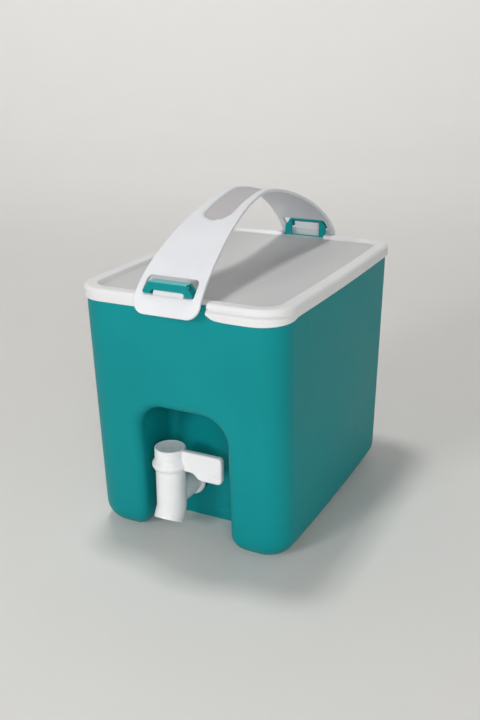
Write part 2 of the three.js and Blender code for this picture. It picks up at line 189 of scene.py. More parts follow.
def cutFrom(made, tool):
    return combine(made, tool, "DIFFERENCE")


def addTo(made, tool):
    return combine(made, tool, "UNION")


def atEnd(made, end):
    # leaves a part at the front, or turns it half round the jug's upright axis to the rear
    if end == "rear":
        made.data.transform(Matrix.Rotation(math.pi, 4, "Z"))
    return made


def joinInto(made, other):
    # adds another closed mesh to this one
    work = bmesh.new()
    work.from_mesh(made.data)
    work.from_mesh(other.data)
    work.to_mesh(made.data)
    work.free()
    bpy.data.objects.remove(other)
    return made


def copyOf(made, name):
    twin = bpy.data.objects.new(name, made.data.copy())
    scene.collection.objects.link(twin)
    return twin


def smooth(made, angle=38):
    # smooth faces, crisp edges, and flat areas that stay flat
    work = bmesh.new()
    work.from_mesh(made.data)
    bmesh.ops.remove_doubles(work, verts=work.verts, dist=2e-6)
    bmesh.ops.dissolve_degenerate(work, edges=work.edges, dist=2e-6)
    work.to_mesh(made.data)
    work.free()
    made.data.polygons.foreach_set("use_smooth", [True] * len(made.data.polygons))
    made.data.set_sharp_from_angle(angle=math.radians(angle))
    weighted = made.modifiers.new("weighted", "WEIGHTED_NORMAL")
    weighted.keep_sharp = True
    weighted.weight = 60
    return applyAll(made)


def wholeTurn(steps):
    # angles all the way round, the last one short of the first
    return [2 * math.pi * step / steps for step in range(steps)]


def quarterTurn(steps):
    # angles of a quarter turn, with both ends
    return [math.pi / 2 * step / steps for step in range(steps + 1)]


def arc(centreA, centreB, radius, start, end, steps):
    # points on a circle, angles in degrees
    turned = [math.radians(start + (end - start) * step / steps) for step in range(steps + 1)]
    return [(centreA + radius * math.cos(t), centreB + radius * math.sin(t)) for t in turned]


def curveThrough(start, first, second, end, steps):
    # smooth curve from start to end, pulled towards the two points between
    points = []
    for step in range(1, steps + 1):
        t = step / steps
        weights = ((1 - t) ** 3, 3 * t * (1 - t) ** 2, 3 * t * t * (1 - t), t ** 3)
        pulls = list(zip(weights, (start, first, second, end)))
        points.append(tuple(sum(weight * pull[i] for weight, pull in pulls) for i in (0, 1)))
    return points


def clamped(value):
    return min(max(value, 0.0), 1.0)


def rampUp(value, low, high):
    t = clamped((value - low) / (high - low))
    return t * t * (3 - 2 * t)


def addNode(tree, kind, **settings):
    node = tree.nodes.new(kind)
    for key, value in settings.items():
        setattr(node, key, value)
    return node


def noiseField(tree, coordinates, scale, detail, roughness=0.5, stretch=None):
    source = coordinates
    if stretch:
        mapping = addNode(tree, "ShaderNodeMapping")
        mapping.inputs["Scale"].default_value = stretch
        tree.links.new(coordinates, mapping.inputs["Vector"])
        source = mapping.outputs["Vector"]
    noise = addNode(tree, "ShaderNodeTexNoise")
    noise.inputs["Scale"].default_value = scale
    noise.inputs["Detail"].default_value = detail
    noise.inputs["Roughness"].default_value = roughness
    tree.links.new(source, noise.inputs["Vector"])
    return noise.outputs["Fac"]


def remap(tree, value, low, high, newLow, newHigh):
    node = addNode(tree, "ShaderNodeMapRange", clamp=True)
    for socket, number in zip(("From Min", "From Max", "To Min", "To Max"), (low, high, newLow, newHigh)):
        node.inputs[socket].default_value = number
    tree.links.new(value, node.inputs["Value"])
    return node.outputs["Result"]


def calculate(tree, operation, a, b):
    node = addNode(tree, "ShaderNodeMath", operation=operation)
    for socket, value in zip(node.inputs, (a, b)):
        if isinstance(value, (int, float)):
            socket.default_value = value
        else:
            tree.links.new(value, socket)
    return node.outputs["Value"]


def mixColours(tree, factor, first, second):
    node = addNode(tree, "ShaderNodeMix", data_type="RGBA")
    for socket, value in zip((node.inputs[0], node.inputs[6], node.inputs[7]), (factor, first, second)):
        if isinstance(value, (int, float)):
            socket.default_value = value
        elif isinstance(value, (tuple, list)):
            socket.default_value = (*value, 1.0)
        else:
            tree.links.new(value, socket)
    return node.outputs[2]


# the fine surface that every moulding and seal shares
surface = {
    "speckScale": 900.0,
    "scratchScale": 60.0,
    "waveScale": 38.0,
    "wearRoughness": 0.12,
    "zoneRoughness": 0.10,
    "wearOnGrain": 0.6,  # share of the grain's depth that wear takes off
    "softDepth": 0.004,  # how far light goes in, in metres
}


def splitAxes(tree, vector):
    split = addNode(tree, "ShaderNodeSeparateXYZ")
    tree.links.new(vector, split.inputs["Vector"])
    return split.outputs


def facingUp(tree, low, high):
    # 1 on faces that look up, 0 on the others
    normal = splitAxes(tree, addNode(tree, "ShaderNodeNewGeometry").outputs["Normal"])
    return remap(tree, normal["Z"], low, high, 0.0, 1.0)


def mouldedPlastic(name, look, zone=None):
    # satin moulded plastic: mottled colour, fine grain, faint flow waves, scuffs and settled dust
    material = bpy.data.materials.new(name)
    material.use_nodes = True
    tree = material.node_tree
    shader = tree.nodes["Principled BSDF"]
    coordinates = addNode(tree, "ShaderNodeTexCoord").outputs["Object"]

    mottle = noiseField(tree, coordinates, look["mottleScale"], 4.0, 0.55)
    speck = noiseField(tree, coordinates, surface["speckScale"], 2.0, 0.6)
    scratch = noiseField(tree, coordinates, surface["scratchScale"], 6.0, 0.75, look["scratchStretch"])
    grain = noiseField(tree, coordinates, look["grainScale"], 2.0, 0.5)
    wave = noiseField(tree, coordinates, surface["waveScale"], 2.0, 0.4)

    colour = mixColours(tree, remap(tree, mottle, 0.3, 0.7, 0.0, 1.0), look["deep"], look["pale"])
    specks = remap(tree, speck, 0.70, 0.78, 0.0, look["speckAmount"])
    colour = mixColours(tree, specks, colour, look["speckColour"])

    height = splitAxes(tree, coordinates)["Z"]
    wearHeight = remap(tree, height, look["wearLow"], look["wearHigh"], 1.0, 0.0)
    scuffs = remap(tree, scratch, 0.58, 0.72, 0.0, 1.0)
    wear = calculate(tree, "ADD", wearHeight, look["wearEverywhere"])
    wear = calculate(tree, "MINIMUM", calculate(tree, "MULTIPLY", wear, scuffs), 1.0)
    worn = calculate(tree, "MULTIPLY", wear, look["wearTint"])
    colour = mixColours(tree, worn, colour, look["wearColour"])

    gloss = remap(tree, mottle, 0.3, 0.7, look["roughLow"], look["roughHigh"])
    gloss = calculate(tree, "ADD", gloss, calculate(tree, "MULTIPLY", wear, surface["wearRoughness"]))
    # the zone's colour is a painted highlight on the tub's hook tops and painted shade in the strap's grip
    # hollow; on the lid it is the panel's own greyer tone
    if zone:
        inZone = zone(tree, coordinates)
        colour = mixColours(tree, inZone, colour, look["zoneColour"])
        gloss = calculate(tree, "ADD", gloss, calculate(tree, "MULTIPLY", inZone, surface["zoneRoughness"]))
    tree.links.new(colour, shader.inputs["Base Color"])
    tree.links.new(gloss, shader.inputs["Roughness"])

    flattened = calculate(tree, "MULTIPLY", wear, look["grainDepth"] * surface["wearOnGrain"])
    relief = calculate(tree, "ADD", calculate(tree, "MULTIPLY", grain, look["grainDepth"]),
                       calculate(tree, "MULTIPLY", wave, look["waveDepth"]))
    bump = addNode(tree, "ShaderNodeBump")
    bump.inputs["Distance"].default_value = 1.0
    bump.inputs["Strength"].default_value = 1.0
    tree.links.new(calculate(tree, "SUBTRACT", relief, flattened), bump.inputs["Height"])
    tree.links.new(bump.outputs["Normal"], shader.inputs["Normal"])

    shader.inputs["Specular IOR Level"].default_value = look["specular"]
    if "softness" in look:
        shader.inputs["Subsurface Weight"].default_value = look["softness"]
        shader.inputs["Subsurface Radius"].default_value = look["softRadius"]
        shader.inputs["Subsurface Scale"].default_value = surface["softDepth"]
    return material


def give(made, material):
    made.data.materials.clear()
    made.data.materials.append(material)
    return made


def outline(inset, z, lean=0.0):
    # rounded rectangle with swelling long sides, set in from the lid's outline
    halfX = lidHalfX - inset
    halfY = lidHalfY - inset - lean
    radius = max(bodyPlan["corner"] - inset, 3.0)
    cornerSteps, sideSteps = bodyPlan["cornerSteps"], bodyPlan["sideSteps"]
    corners = []
    for corner, (signX, signY) in enumerate(((1, 1), (-1, 1), (-1, -1), (1, -1))):
        for x, y in arc(signX * (halfX - radius), signY * (halfY - radius), radius,
                        90 * corner, 90 * corner + 90, cornerSteps):
            corners.append((x, y))
    ring = []
    for i, (x, y) in enumerate(corners):
        nextX, nextY = corners[(i + 1) % len(corners)]
        steps = sideSteps if i % (cornerSteps + 1) == cornerSteps else 1
        for step in range(steps):
            t = step / steps
            atX, atY = x + (nextX - x) * t, y + (nextY - y) * t
            swell = (1 - (atY / halfY) ** 2) * bodyPlan["bow"] / lidHalfX
            ring.append((atX * (1 + swell), atY, z))
    return ring


# tub and hooks, in millimetres
tubSizes = {
    "rim": hookTop - 17.5,
    "wall": 2.5,
    "floor": 3.0,
    "neck": 18.0,
    "lean": 12.8,  # how far front and back lean in at the base
    "baseRadius": 21.0,
    "wallRings": (60.0, 100.0, 140.0, 180.0),  # heights
    "rimRound": 0.7,
    "alcoveHalf": 44.0,
    "alcoveTop": 134.0,
    "alcoveCorner": 25.0,
    "alcoveDepth": 67.6,
    "alcoveRings": (-118.0, -100.0),  # places along y, between lip and back corner
    "alcoveReach": 30.0,  # how far its space goes on in front of the tub
    "alcoveBelow": 12.0,  # and below the base
    "lipRadius": 9.0,
    "footRadius": 20.0,
    "footSink": 0.6,
    "backRound": 9.0,
    "holeRadius": 10.8,
    "hookHalf": 23.5,
    "hookTopHalf": 17.5,
    "hookShoulder": 8.0,
    "hookEar": 7.5,
    "hookFoot": 1.4,  # height of the rounding under each leg
    "hookPlate": 2.5,
    "hookLip": 2.2,
    "hookLipDrop": 6.9,
    "hookLegDrop": 10.5,
    "hookRoot": 5.0,  # how far the ears reach down into the tub's wall
    "hookRound": 0.7,
}
tubLook = {
    "deep": (0.001, 0.232, 0.248),
    "pale": (0.002, 0.262, 0.280),
    "speckColour": (0.004, 0.33, 0.35),
    "speckAmount": 0.35,
    "wearColour": (0.06, 0.38, 0.39),
    "wearTint": 0.45,
    "wearLow": 0.004,
    "wearHigh": 0.030,
    "wearEverywhere": 0.16,
    "mottleScale": 9.0,
    "scratchStretch": (0.35, 0.35, 2.6),
    "grainScale": 1500.0,
    "grainDepth": 0.00006,
    "waveDepth": 0.00035,
    "roughLow": 0.40,
    "roughHigh": 0.50,
    "specular": 0.14,
    "zoneColour": (0.16, 0.52, 0.54),  # painted highlight on the top of the hooks, where they face up
}


def leanAt(z):
    return tubSizes["lean"] * max(1 - z / (tubSizes["rim"] - tubSizes["neck"]), 0.0)


def baseTuck(z):
    # how far the rounded base edge has drawn in at height z
    radius = tubSizes["baseRadius"]
    if z >= radius:
        return 0.0
    across = 1 - max(z, 0.0) / radius
    return radius * (1 - math.sqrt(1 - across * across))


def frontAt(z):
    return -(lidHalfY - bodyPlan["inset"] - leanAt(max(z, 0.0)) - baseTuck(z))


def tubBlock(name, skin, bottom, top):
    # outside of the tub, or the hollow within a wall as thick as skin
    inset = bodyPlan["inset"] + skin
    radius = tubSizes["baseRadius"] - skin
    rings = []
    for angle in quarterTurn(14):
        z = bottom + radius * (1 - math.cos(angle))
        rings.append(outline(inset + radius * (1 - math.sin(angle)), z, leanAt(z)))
    for z in (*tubSizes["wallRings"], tubSizes["rim"] - tubSizes["neck"]):
        rings.append(outline(inset, z, leanAt(z)))
    # rounded edge of the rim, outwards for the hollow and inwards for the outside
    sign = 1 if skin == 0 else -1
    small = tubSizes["rimRound"]
    for angle in quarterTurn(4):
        z = tubSizes["rim"] - small * (1 - math.sin(angle))
        rings.append(outline(inset + sign * small * (1 - math.cos(angle)), z))
    if top > tubSizes["rim"]:
        rings.append(outline(inset - small, top))
    return loft(name, rings)


def alcoveRing(skin, flare, depthAt):
    # outline of the alcove at one depth, from the right foot over the arch to the left foot
    s = tubSizes
    steps = 14
    grow = skin + flare
    half = s["alcoveHalf"] + grow
    radius = s["alcoveCorner"] + grow
    archZ = s["alcoveTop"] - s["alcoveCorner"]
    footX = s["alcoveHalf"] + s["footRadius"]
    footZ = s["footRadius"] - s["footSink"]
    right = [(footX, -s["alcoveBelow"])]
    for angle in quarterTurn(steps):
        footRadius = s["footRadius"] - skin - flare * math.sin(angle)
        right.append((footX - footRadius * math.sin(angle), footZ - footRadius * math.cos(angle)))
    right += [(half, z) for z in (40.0, 60.0, 80.0)]
    right += arc(half - radius, archZ, radius, 0, 90, steps)
    right += [(share * (half - radius), archZ + radius) for share in (0.66, 0.33)]
    left = [(-x, z) for x, z in reversed(right)]
    points = right + [(0.0, archZ + radius)] + left
    return [(x, depthAt(z), z) for x, z in points]


def alcoveBlock(name, skin):
    # the alcove's space, grown by skin on every side, with a rounded lip and a rounded back corner
    s = tubSizes
    lip = s["lipRadius"]
    bend = lip - skin
    back = backWallY + skin
    corner = max(s["backRound"] - skin, 1.0)
    rings = [alcoveRing(skin, bend, lambda z: frontAt(z) - s["alcoveReach"])]
    for i, angle in enumerate(reversed(quarterTurn(10))):
        clear = 0.0 if i else 0.02  # the first ring stands just outside the wall
        setBack = lip - bend * math.sin(angle) - clear
        rings.append(alcoveRing(skin, bend * (1 - math.cos(angle)), lambda z: frontAt(z) + setBack))
    for y in (*s["alcoveRings"], back - corner):
        rings.append(alcoveRing(skin, 0.0, lambda z: max(y, frontAt(z) + lip + 0.5)))
    for angle in quarterTurn(6)[1:]:
        y = back - corner * (1 - math.sin(angle))
        rings.append(alcoveRing(skin - corner * (1 - math.cos(angle)), 0.0, lambda z: y))
    return loft(name, rings)


wallFront = frontAt(tubSizes["rim"])  # outside of the tub's front wall at the rim
backWallY = -(lidHalfY - bodyPlan["inset"]) + tubSizes["alcoveDepth"]
hookFace = -tubHigh.y  # front of the hook's lip


def hookShoulder(shrink=0.0):
    # slanted right shoulder of the hook, seen from the front, up to its flat top
    half, topHalf = tubSizes["hookHalf"] - shrink, tubSizes["hookTopHalf"] - shrink
    low = hookTop - tubSizes["hookShoulder"]
    return [(half, low - 0.9), (half - 0.35, low + 0.3), (topHalf + 1.1, hookTop - 1.5),
            (topHalf + 0.3, hookTop - 0.5), (topHalf - 1.0, hookTop)]


def frontHook():
    # lip with longer ends, plate over the strap's tongue, and two ears that rise from the rim
    s = tubSizes
    ear, foot = s["hookEar"], s["hookFoot"]
    inner = s["hookHalf"] - ear
    middle, ends = hookTop - s["hookLipDrop"], hookTop - s["hookLegDrop"]
    right = [(0.0, middle), (inner - 2.4, middle), (inner - 1.1, middle - 0.3),
             (inner - 0.3, middle - 1.2), (inner, middle - 1.8)]
    for step in range(1, 13):
        angle = math.pi + math.pi * step / 12
        right.append((inner + ear / 2 * (1 + math.cos(angle)), ends + foot * (1 + math.sin(angle))))
    right += hookShoulder()
    left = [(-x, z) for x, z in reversed(right[1:])]
    hook = extrude("hookLip", right + [(0.0, hookTop)] + left, hookFace, hookFace + s["hookLip"])
    roundEdges(hook, s["hookRound"])
    plateHalf = s["hookTopHalf"] + 0.4
    plateLow = (-plateHalf, hookFace + 0.7, hookTop - s["hookPlate"])
    plateHigh = (plateHalf, wallFront + s["wall"], hookTop - 0.02)
    addTo(hook, block("hookPlate", plateLow, plateHigh, s["hookRound"]))
    root = s["rim"] - s["hookRoot"]
    shape = [(inner, hookTop - 0.04), (inner, root), (s["hookHalf"], root)] + hookShoulder(0.05)
    for side in (-1, 1):
        mirrored = [(side * x, z) for x, z in shape]
        riser = extrude("hookEar", mirrored, wallFront + 0.02, wallFront + s["wall"] - 0.04)
        addTo(hook, roundEdges(riser, s["hookRound"]))
    return hook


def hookTopPaintedHighlight(tree, coordinates):
    # painted highlight along the upper edge of the hooks, on faces that look up
    height = splitAxes(tree, coordinates)["Z"]
    high = remap(tree, height, (hookTop - 1.6) * mm, (hookTop - 0.2) * mm, 0.0, 1.0)
    return calculate(tree, "MULTIPLY", high, facingUp(tree, 0.2, 0.9))


def buildTub():
    print("tub: walls and alcove")
    s = tubSizes
    tub = tubBlock("tub_shell", 0.0, 0.0, s["rim"])
    hollow = tubBlock("hollow", s["wall"], s["floor"], s["rim"] + 5.0)
    cutFrom(hollow, alcoveBlock("alcoveSkin", s["wall"]))
    cutFrom(tub, alcoveBlock("alcove", 0.0))
    cutFrom(tub, hollow)
    cutFrom(tub, rod("tapHole", s["holeRadius"], backWallY - 5, backWallY + 10, spigotAxis))
    print("tub: strap hooks")
    front = frontHook()
    rear = atEnd(copyOf(front, "rearHook"), "rear")
    addTo(tub, front)
    addTo(tub, rear)
    smooth(tub)
    give(tub, mouldedPlastic("teal_polypropylene", tubLook, hookTopPaintedHighlight))
    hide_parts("tub")
    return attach(tub, "base")


# lid, in millimetres
lidSizes = {
    "skirt": 2.0,
    "skirtDrop": 11.2,
    "skirtRound": 0.7,
    "skirtRings": (9.6, 8.8, 8.2, 7.7, 7.2, 6.7, 6.2, 5.7, 5.2, 4.6),  # below the top, for the lift lip
    "topEdge": 3.5,
    "shelf": 2.6,
    "rimWidth": 12.5,
    "panelSink": 4.0,
    "panelThickness": 2.6,
    "panelRings": (30.0, 60.0),  # set in from the outline
    "ringInset": 5.3,
    "ringWall": 2.5,
    "ringDrop": 14.0,
    "ringRound": 0.6,
    "pocketHalf": 33.0,
    "pocketRound": 1.2,
    "notchHalf": 24.5,
    "notchRound": 1.0,
    "lipStart": 30.0,
    "lipReach": 2.4,
    "lipTop": 5.4,
    "lipSlope": 2.4,
    "lipDrop": 2.8,  # below the skirt's edge
    "lipOnset": 26.0,
    "lipTurn": 94.0,  # degrees that it goes round the corner
    "endRound": 2.2,  # rise of the skirt's edge beside the pocket
    "endLength": 7.0,
}
lidLook = {
    "deep": (0.74, 0.745, 0.76),
    "pale": (0.80, 0.805, 0.815),
    "speckColour": (0.58, 0.57, 0.55),
    "speckAmount": 0.30,
    "wearColour": (0.60, 0.60, 0.60),
    "wearTint": 0.30,
    "wearLow": 0.2360,
    "wearHigh": 0.2372,
    "wearEverywhere": 0.12,
    "mottleScale": 14.0,
    "scratchStretch": (2.2, 0.5, 1.0),
    "grainScale": 1700.0,
    "grainDepth": 0.00004,
    "waveDepth": 0.00025,
    "roughLow": 0.36,
    "roughHigh": 0.46,
    "specular": 0.42,
    "zoneColour": (0.60, 0.605, 0.61),
    "softness": 0.08,
    "softRadius": (1.0, 0.9, 0.8),
}


def lidProfile():
    # inset and height, from the middle of the underside round the skirt to the middle of the panel
    s = lidSizes
    ceiling = lidTop - s["shelf"]
    panelTop = lidTop - s["panelSink"]
    panelBottom = panelTop - s["panelThickness"]
    ringIn, ringOut = s["ringInset"] + s["ringWall"], s["ringInset"]
    ringBottom = lidTop - s["ringDrop"]
    skirtBottom = lidTop - s["skirtDrop"]
    near, far = s["panelRings"]
    small, edge, width = s["ringRound"], s["skirtRound"], s["rimWidth"]
    profile = [(far, panelBottom), (near, panelBottom), (ringIn + 0.8, panelBottom)]
    profile += arc(ringIn - small, ringBottom + small, small, 0, -90, 3)
    profile += arc(ringOut + small, ringBottom + small, small, -90, -180, 3)
    profile += [(ringOut, ceiling - 0.4), (ringOut - 0.4, ceiling), (s["skirt"] + 0.4, ceiling)]
    profile += [(s["skirt"], ceiling - 0.4)]
    profile += arc(s["skirt"] - edge, skirtBottom + edge, edge, 0, -90, 3)
    profile += arc(edge, skirtBottom + edge, edge, -90, -180, 3)
    profile += [(0.0, lidTop - drop) for drop in s["skirtRings"]]
    profile += arc(s["topEdge"], lidTop - s["topEdge"], s["topEdge"], 180, 90, 10)
    profile += [(6.5, lidTop), (9.0, lidTop), (width - 1.9, lidTop - 0.04)]
    profile += arc(width - 1.7, lidTop - 1.6, 1.5, 82, 10, 6)
    profile += [(width + 0.2, panelTop + 1.3)]
    profile += arc(width + 1.5, panelTop + 1.1, 1.1, 190, 270, 5)
    profile += [(width + 5.5, panelTop), (near, panelTop + 0.15), (far, panelTop + 0.4)]
    return profile


def liftLipShift(x, y, drop, outer):
    # how far a point of the skirt moves out and down for the lip that the lid is pulled off by
    s = lidSizes
    cornerX, cornerY = lidHalfX - bodyPlan["corner"], -(lidHalfY - bodyPlan["corner"])
    if y > cornerY + 2.0 or x < s["lipStart"] - 2.0:
        return 0.0, 0.0
    turn = math.degrees(math.atan2(y - cornerY, x - cornerX)) + 90 if x > cornerX else 0.0
    onset = 1 - (1 - clamped((x - s["lipStart"]) / s["lipOnset"])) ** 2
    share = 1 - clamped(turn / s["lipTurn"]) ** 3
    low = s["skirtDrop"] - 0.5
    top = s["lipTop"] * share + low * (1 - share)
    reach = s["lipReach"] if outer else 0.0
    out = reach * share * min(0.55 + onset, 1.0) * rampUp(drop, top - 0.6, top + s["lipSlope"])
    down = s["lipDrop"] * share * onset * rampUp(drop, s["skirtDrop"] - 3.2, low)
    if outer or drop > s["skirtDrop"] - 4:
        beside = 1 - rampUp(x, s["pocketHalf"], s["pocketHalf"] + s["endLength"])
        down -= s["endRound"] * beside * rampUp(drop, 7.0, s["skirtDrop"])
    return out, down


def skirtMoved(ring, drop, outer):
    # one ring of the skirt with the lift lip bent into it
    moved = []
    for i, (x, y, z) in enumerate(ring):
        before, after = ring[i - 1], ring[(i + 1) % len(ring)]
        along = Vector((after[0] - before[0], after[1] - before[1])).normalized()
        out, down = liftLipShift(x, y, drop, outer)
        moved.append((x + along.y * out, y - along.x * out, z - down))
    return moved


def panelZone(tree, coordinates):
    # sunken panel, a little greyer and more matt than the rim
    height = splitAxes(tree, coordinates)["Z"]
    low = remap(tree, height, (lidTop - 2.8) * mm, (lidTop - 1.2) * mm, 1.0, 0.0)
    return calculate(tree, "MULTIPLY", low, facingUp(tree, 0.35, 0.85))


def buildLid():
    print("lid: rim, panel and skirt")
    s = lidSizes
    rings = []
    for inset, z in lidProfile():
        ring = outline(inset, z)
        if inset < 2.5:
            ring = skirtMoved(ring, lidTop - z, inset < 0.8)
        rings.append(ring)
    lid = loft("lid_cover", rings)
    print("lid: pockets for the strap")
    edge = -lidHalfY
    floorY = edge + s["ringInset"]
    past = 8.0  # how far the cutting blocks stand past the lid
    for end in ("front", "rear"):
        pocket = block("pocket", (-s["pocketHalf"], edge - past, lidTop - 30.0),
                       (s["pocketHalf"], floorY, lidTop + past), s["pocketRound"])
        notch = block("notch", (-s["notchHalf"], floorY - 3.0, lidTop - s["panelSink"]),
                      (s["notchHalf"], edge + s["rimWidth"] + 2.4, lidTop + past), s["notchRound"])
        cutFrom(lid, atEnd(pocket, end))
        cutFrom(lid, atEnd(notch, end))
    smooth(lid)
    give(lid, mouldedPlastic("white_lid_plastic", lidLook, panelZone))
    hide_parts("lid")
    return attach(lid, "cover")


# carry strap, in millimetres
strapSizes = {
    "halfSpan": lidHigh.y + 6.5,
    "crown": strapHigh.z,
    "tabBottom": strapLow.z,
    "tabDrop": 12.5,
    "tabLean": 0.5,  # how far a tab stands out further, for each millimetre down
    "tabRings": (1.0, 0.985, 0.94, 0.86, 0.76, 0.66, 0.54, 0.4, 0.26, 0.12),  # shares of the drop
    "archSteps": 150,
    "powerY": 1.2,
    "powerZ": 1.55,
    "halfEnd": strapHigh.x,
    "halfGrip": 19.5,
    "thickness": 3.0,
    "tabCorner": 11.0,
    "edgeRound": 1.0,
    "slotHalf": 24.5,
    "slotBottom": hookTop - 11.5,
    "slotTop": hookTop + 2.0,
    "slotCorner": 4.0,
    "slotFoot": 2.6,  # rounding of its lower corners
    "tongueHalf": 14.5,
    "tongueThickness": 2.7,
    "tongueLean": 5.7,
    "tongueRound": 0.7,
    "gripHalf": 14.0,
    "gripEnd": 74.0,  # end of the grip hollow, from the middle
    "gripDepth": 1.3,
    "gripEdge": 1.2,
    "gripAbove": 20.0,  # no hollow below this, from the arch's foot
    "beadHeight": 0.35,
    "beadPlace": 1.0,  # out from the hollow's edge
    "beadWidth": 1.1,
}
strapLook = {
    "deep": (0.70, 0.715, 0.75),
    "pale": (0.76, 0.775, 0.81),
    "speckColour": (0.55, 0.55, 0.55),
    "speckAmount": 0.22,
    "wearColour": (0.62, 0.62, 0.63),
    "wearTint": 0.25,
    "wearLow": 0.20,
    "wearHigh": 0.21,
    "wearEverywhere": 0.22,
    "mottleScale": 18.0,
    "scratchStretch": (0.6, 2.0, 2.0),
    "grainScale": 1300.0,
    "grainDepth": 0.00005,
    "waveDepth": 0.0003,
    "roughLow": 0.44,
    "roughHigh": 0.54,
    "specular": 0.36,
    # painted shade in the grip hollow, on its up-facing parts
    "zoneColour": (0.47, 0.46, 0.475),
    "softness": 0.12,
    "softRadius": (1.0, 0.9, 0.85),
}
springZ = strapSizes["tabBottom"] + strapSizes["tabDrop"]


def strapPoint(angle):
    # outside of the arch: y, z and half width, at an angle from 0 in front to pi at the rear
    across, up = math.cos(angle), max(math.sin(angle), 0.0)
    s = strapSizes
    y = -s["halfSpan"] * math.copysign(abs(across) ** s["powerY"], across)
    z = springZ + (s["crown"] - springZ) * up ** s["powerZ"]
    return y, z, s["halfEnd"] - (s["halfEnd"] - s["halfGrip"]) * up ** 3


def strapLine():
    # stations from the front tab's end over the arch to the rear tab's end
    s = strapSizes
    corner, steps = s["tabCorner"], s["archSteps"]
    tab = []
    for share in s["tabRings"]:
        drop = share * s["tabDrop"]
        over = max(corner - (s["tabDrop"] - drop), 0.0)
        narrow = min(corner - math.sqrt(max(corner ** 2 - over ** 2, 0.0)), corner - 0.3)
        tab.append((-s["halfSpan"] - s["tabLean"] * drop, springZ - drop, s["halfEnd"] - narrow))
    arch = [strapPoint(math.pi * step / steps) for step in range(steps + 1)]
    return tab + arch + [(-y, z, half) for y, z, half in reversed(tab)]


def strapSection(half):
    # rounded band section: across, depth below the outside
    r, t = strapSizes["edgeRound"], strapSizes["thickness"]
    flat = 26
    top = [(-(half - r) + 2 * (half - r) * i / flat, 0.0) for i in range(flat + 1)]
    right = [(half - r + r * math.sin(a), r - r * math.cos(a)) for a in (0.4, 0.8, 1.2, 1.57)]
    right += [(half - r + r * math.cos(a), t - r + r * math.sin(a)) for a in (0.0, 0.4, 0.8, 1.2)]
    bottom = [(half - r - 2 * (half - r) * i / flat, t) for i in range(flat + 1)]
    left = [(-x, d) for x, d in reversed(right)]
    return top + right + bottom + left


def gripSink(x, y):
    # depth of the oblong hollow, soft across its edge, less the low bead round it
    s = strapSizes
    straight = s["gripEnd"] - s["gripHalf"]
    away = math.hypot(x, max(abs(y) - straight, 0.0)) - s["gripHalf"]
    hollow = 1 - rampUp(away, -s["gripEdge"], 0.3)
    bead = math.exp(-((away - s["beadPlace"]) / s["beadWidth"]) ** 2)
    return s["gripDepth"] * hollow - s["beadHeight"] * bead


def strapBand():
    line = strapLine()
    rings = []
    for i, (y, z, half) in enumerate(line):
        before, after = line[max(i - 1, 0)], line[min(i + 1, len(line) - 1)]
        along = Vector((after[0] - before[0], after[1] - before[1])).normalized()
        inwardY, inwardZ = along.y, -along.x
        ring = []
        for x, depth in strapSection(half):
            sink = depth
            if depth < strapSizes["thickness"] / 2 and z > springZ + strapSizes["gripAbove"]:
                sink += gripSink(x, y)
            ring.append((x, y + inwardY * sink, z + inwardZ * sink))
        rings.append(ring)
    return loft("carry_strap_band", rings)


def slotShape():
    s = strapSizes
    half, bend, foot = s["slotHalf"], s["slotCorner"], s["slotFoot"]
    right = arc(half - foot, s["slotBottom"] + foot, foot, -90, 0, 5)
    right += arc(half - bend, s["slotTop"] - bend, bend, 0, 90, 8)
    return right + [(-x, z) for x, z in reversed(right)]


def frontTongue():
    # flap that tucks up behind the hook's lip
    s = strapSizes
    outer = -s["halfSpan"] + 0.1
    root, tip = springZ - 1.0, hookTop - tubSizes["hookPlate"] - 0.9
    side = [(outer, root), (outer + s["tongueThickness"], root),
            (outer + s["tongueLean"] + 1.7, tip - 1.0), (outer + s["tongueLean"], tip)]
    tongue = extrude("tongue", side, -s["tongueHalf"], s["tongueHalf"], along="x")
    return roundEdges(tongue, s["tongueRound"])


def gripHollowShadeAndMatt(tree, coordinates):
    # hollow on the outside of the arch: painted shade on its up-facing parts, and a more matt finish
    s = strapSizes
    place = splitAxes(tree, coordinates)
    along = calculate(tree, "ABSOLUTE", place["Y"], 0.0)
    along = calculate(tree, "SUBTRACT", along, (s["gripEnd"] - s["gripHalf"]) * mm)
    along = calculate(tree, "MAXIMUM", along, 0.0)
    squares = calculate(tree, "ADD", calculate(tree, "POWER", along, 2.0),
                        calculate(tree, "MULTIPLY", place["X"], place["X"]))
    away = calculate(tree, "SQRT", squares, 0.0)
    inside = remap(tree, away, (s["gripHalf"] - 1.3) * mm, (s["gripHalf"] - 0.1) * mm, 1.0, 0.0)
    return calculate(tree, "MULTIPLY", inside, facingUp(tree, 0.05, 0.25))


def buildStrap():
    print("carry strap: band and grip hollow")
    strap = strapBand()
    print("carry strap: slots and tongues")
    front = -strapSizes["halfSpan"]
    for end in ("front", "rear"):
        cutFrom(strap, atEnd(extrude("slot", slotShape(), front - 10.0, front + 25.0), end))
        addTo(strap, atEnd(frontTongue(), end))
    smooth(strap, 42)
    give(strap, mouldedPlastic("soft_white_plastic", strapLook, gripHollowShadeAndMatt))
    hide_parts("carry_strap")
    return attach(strap, "handle")


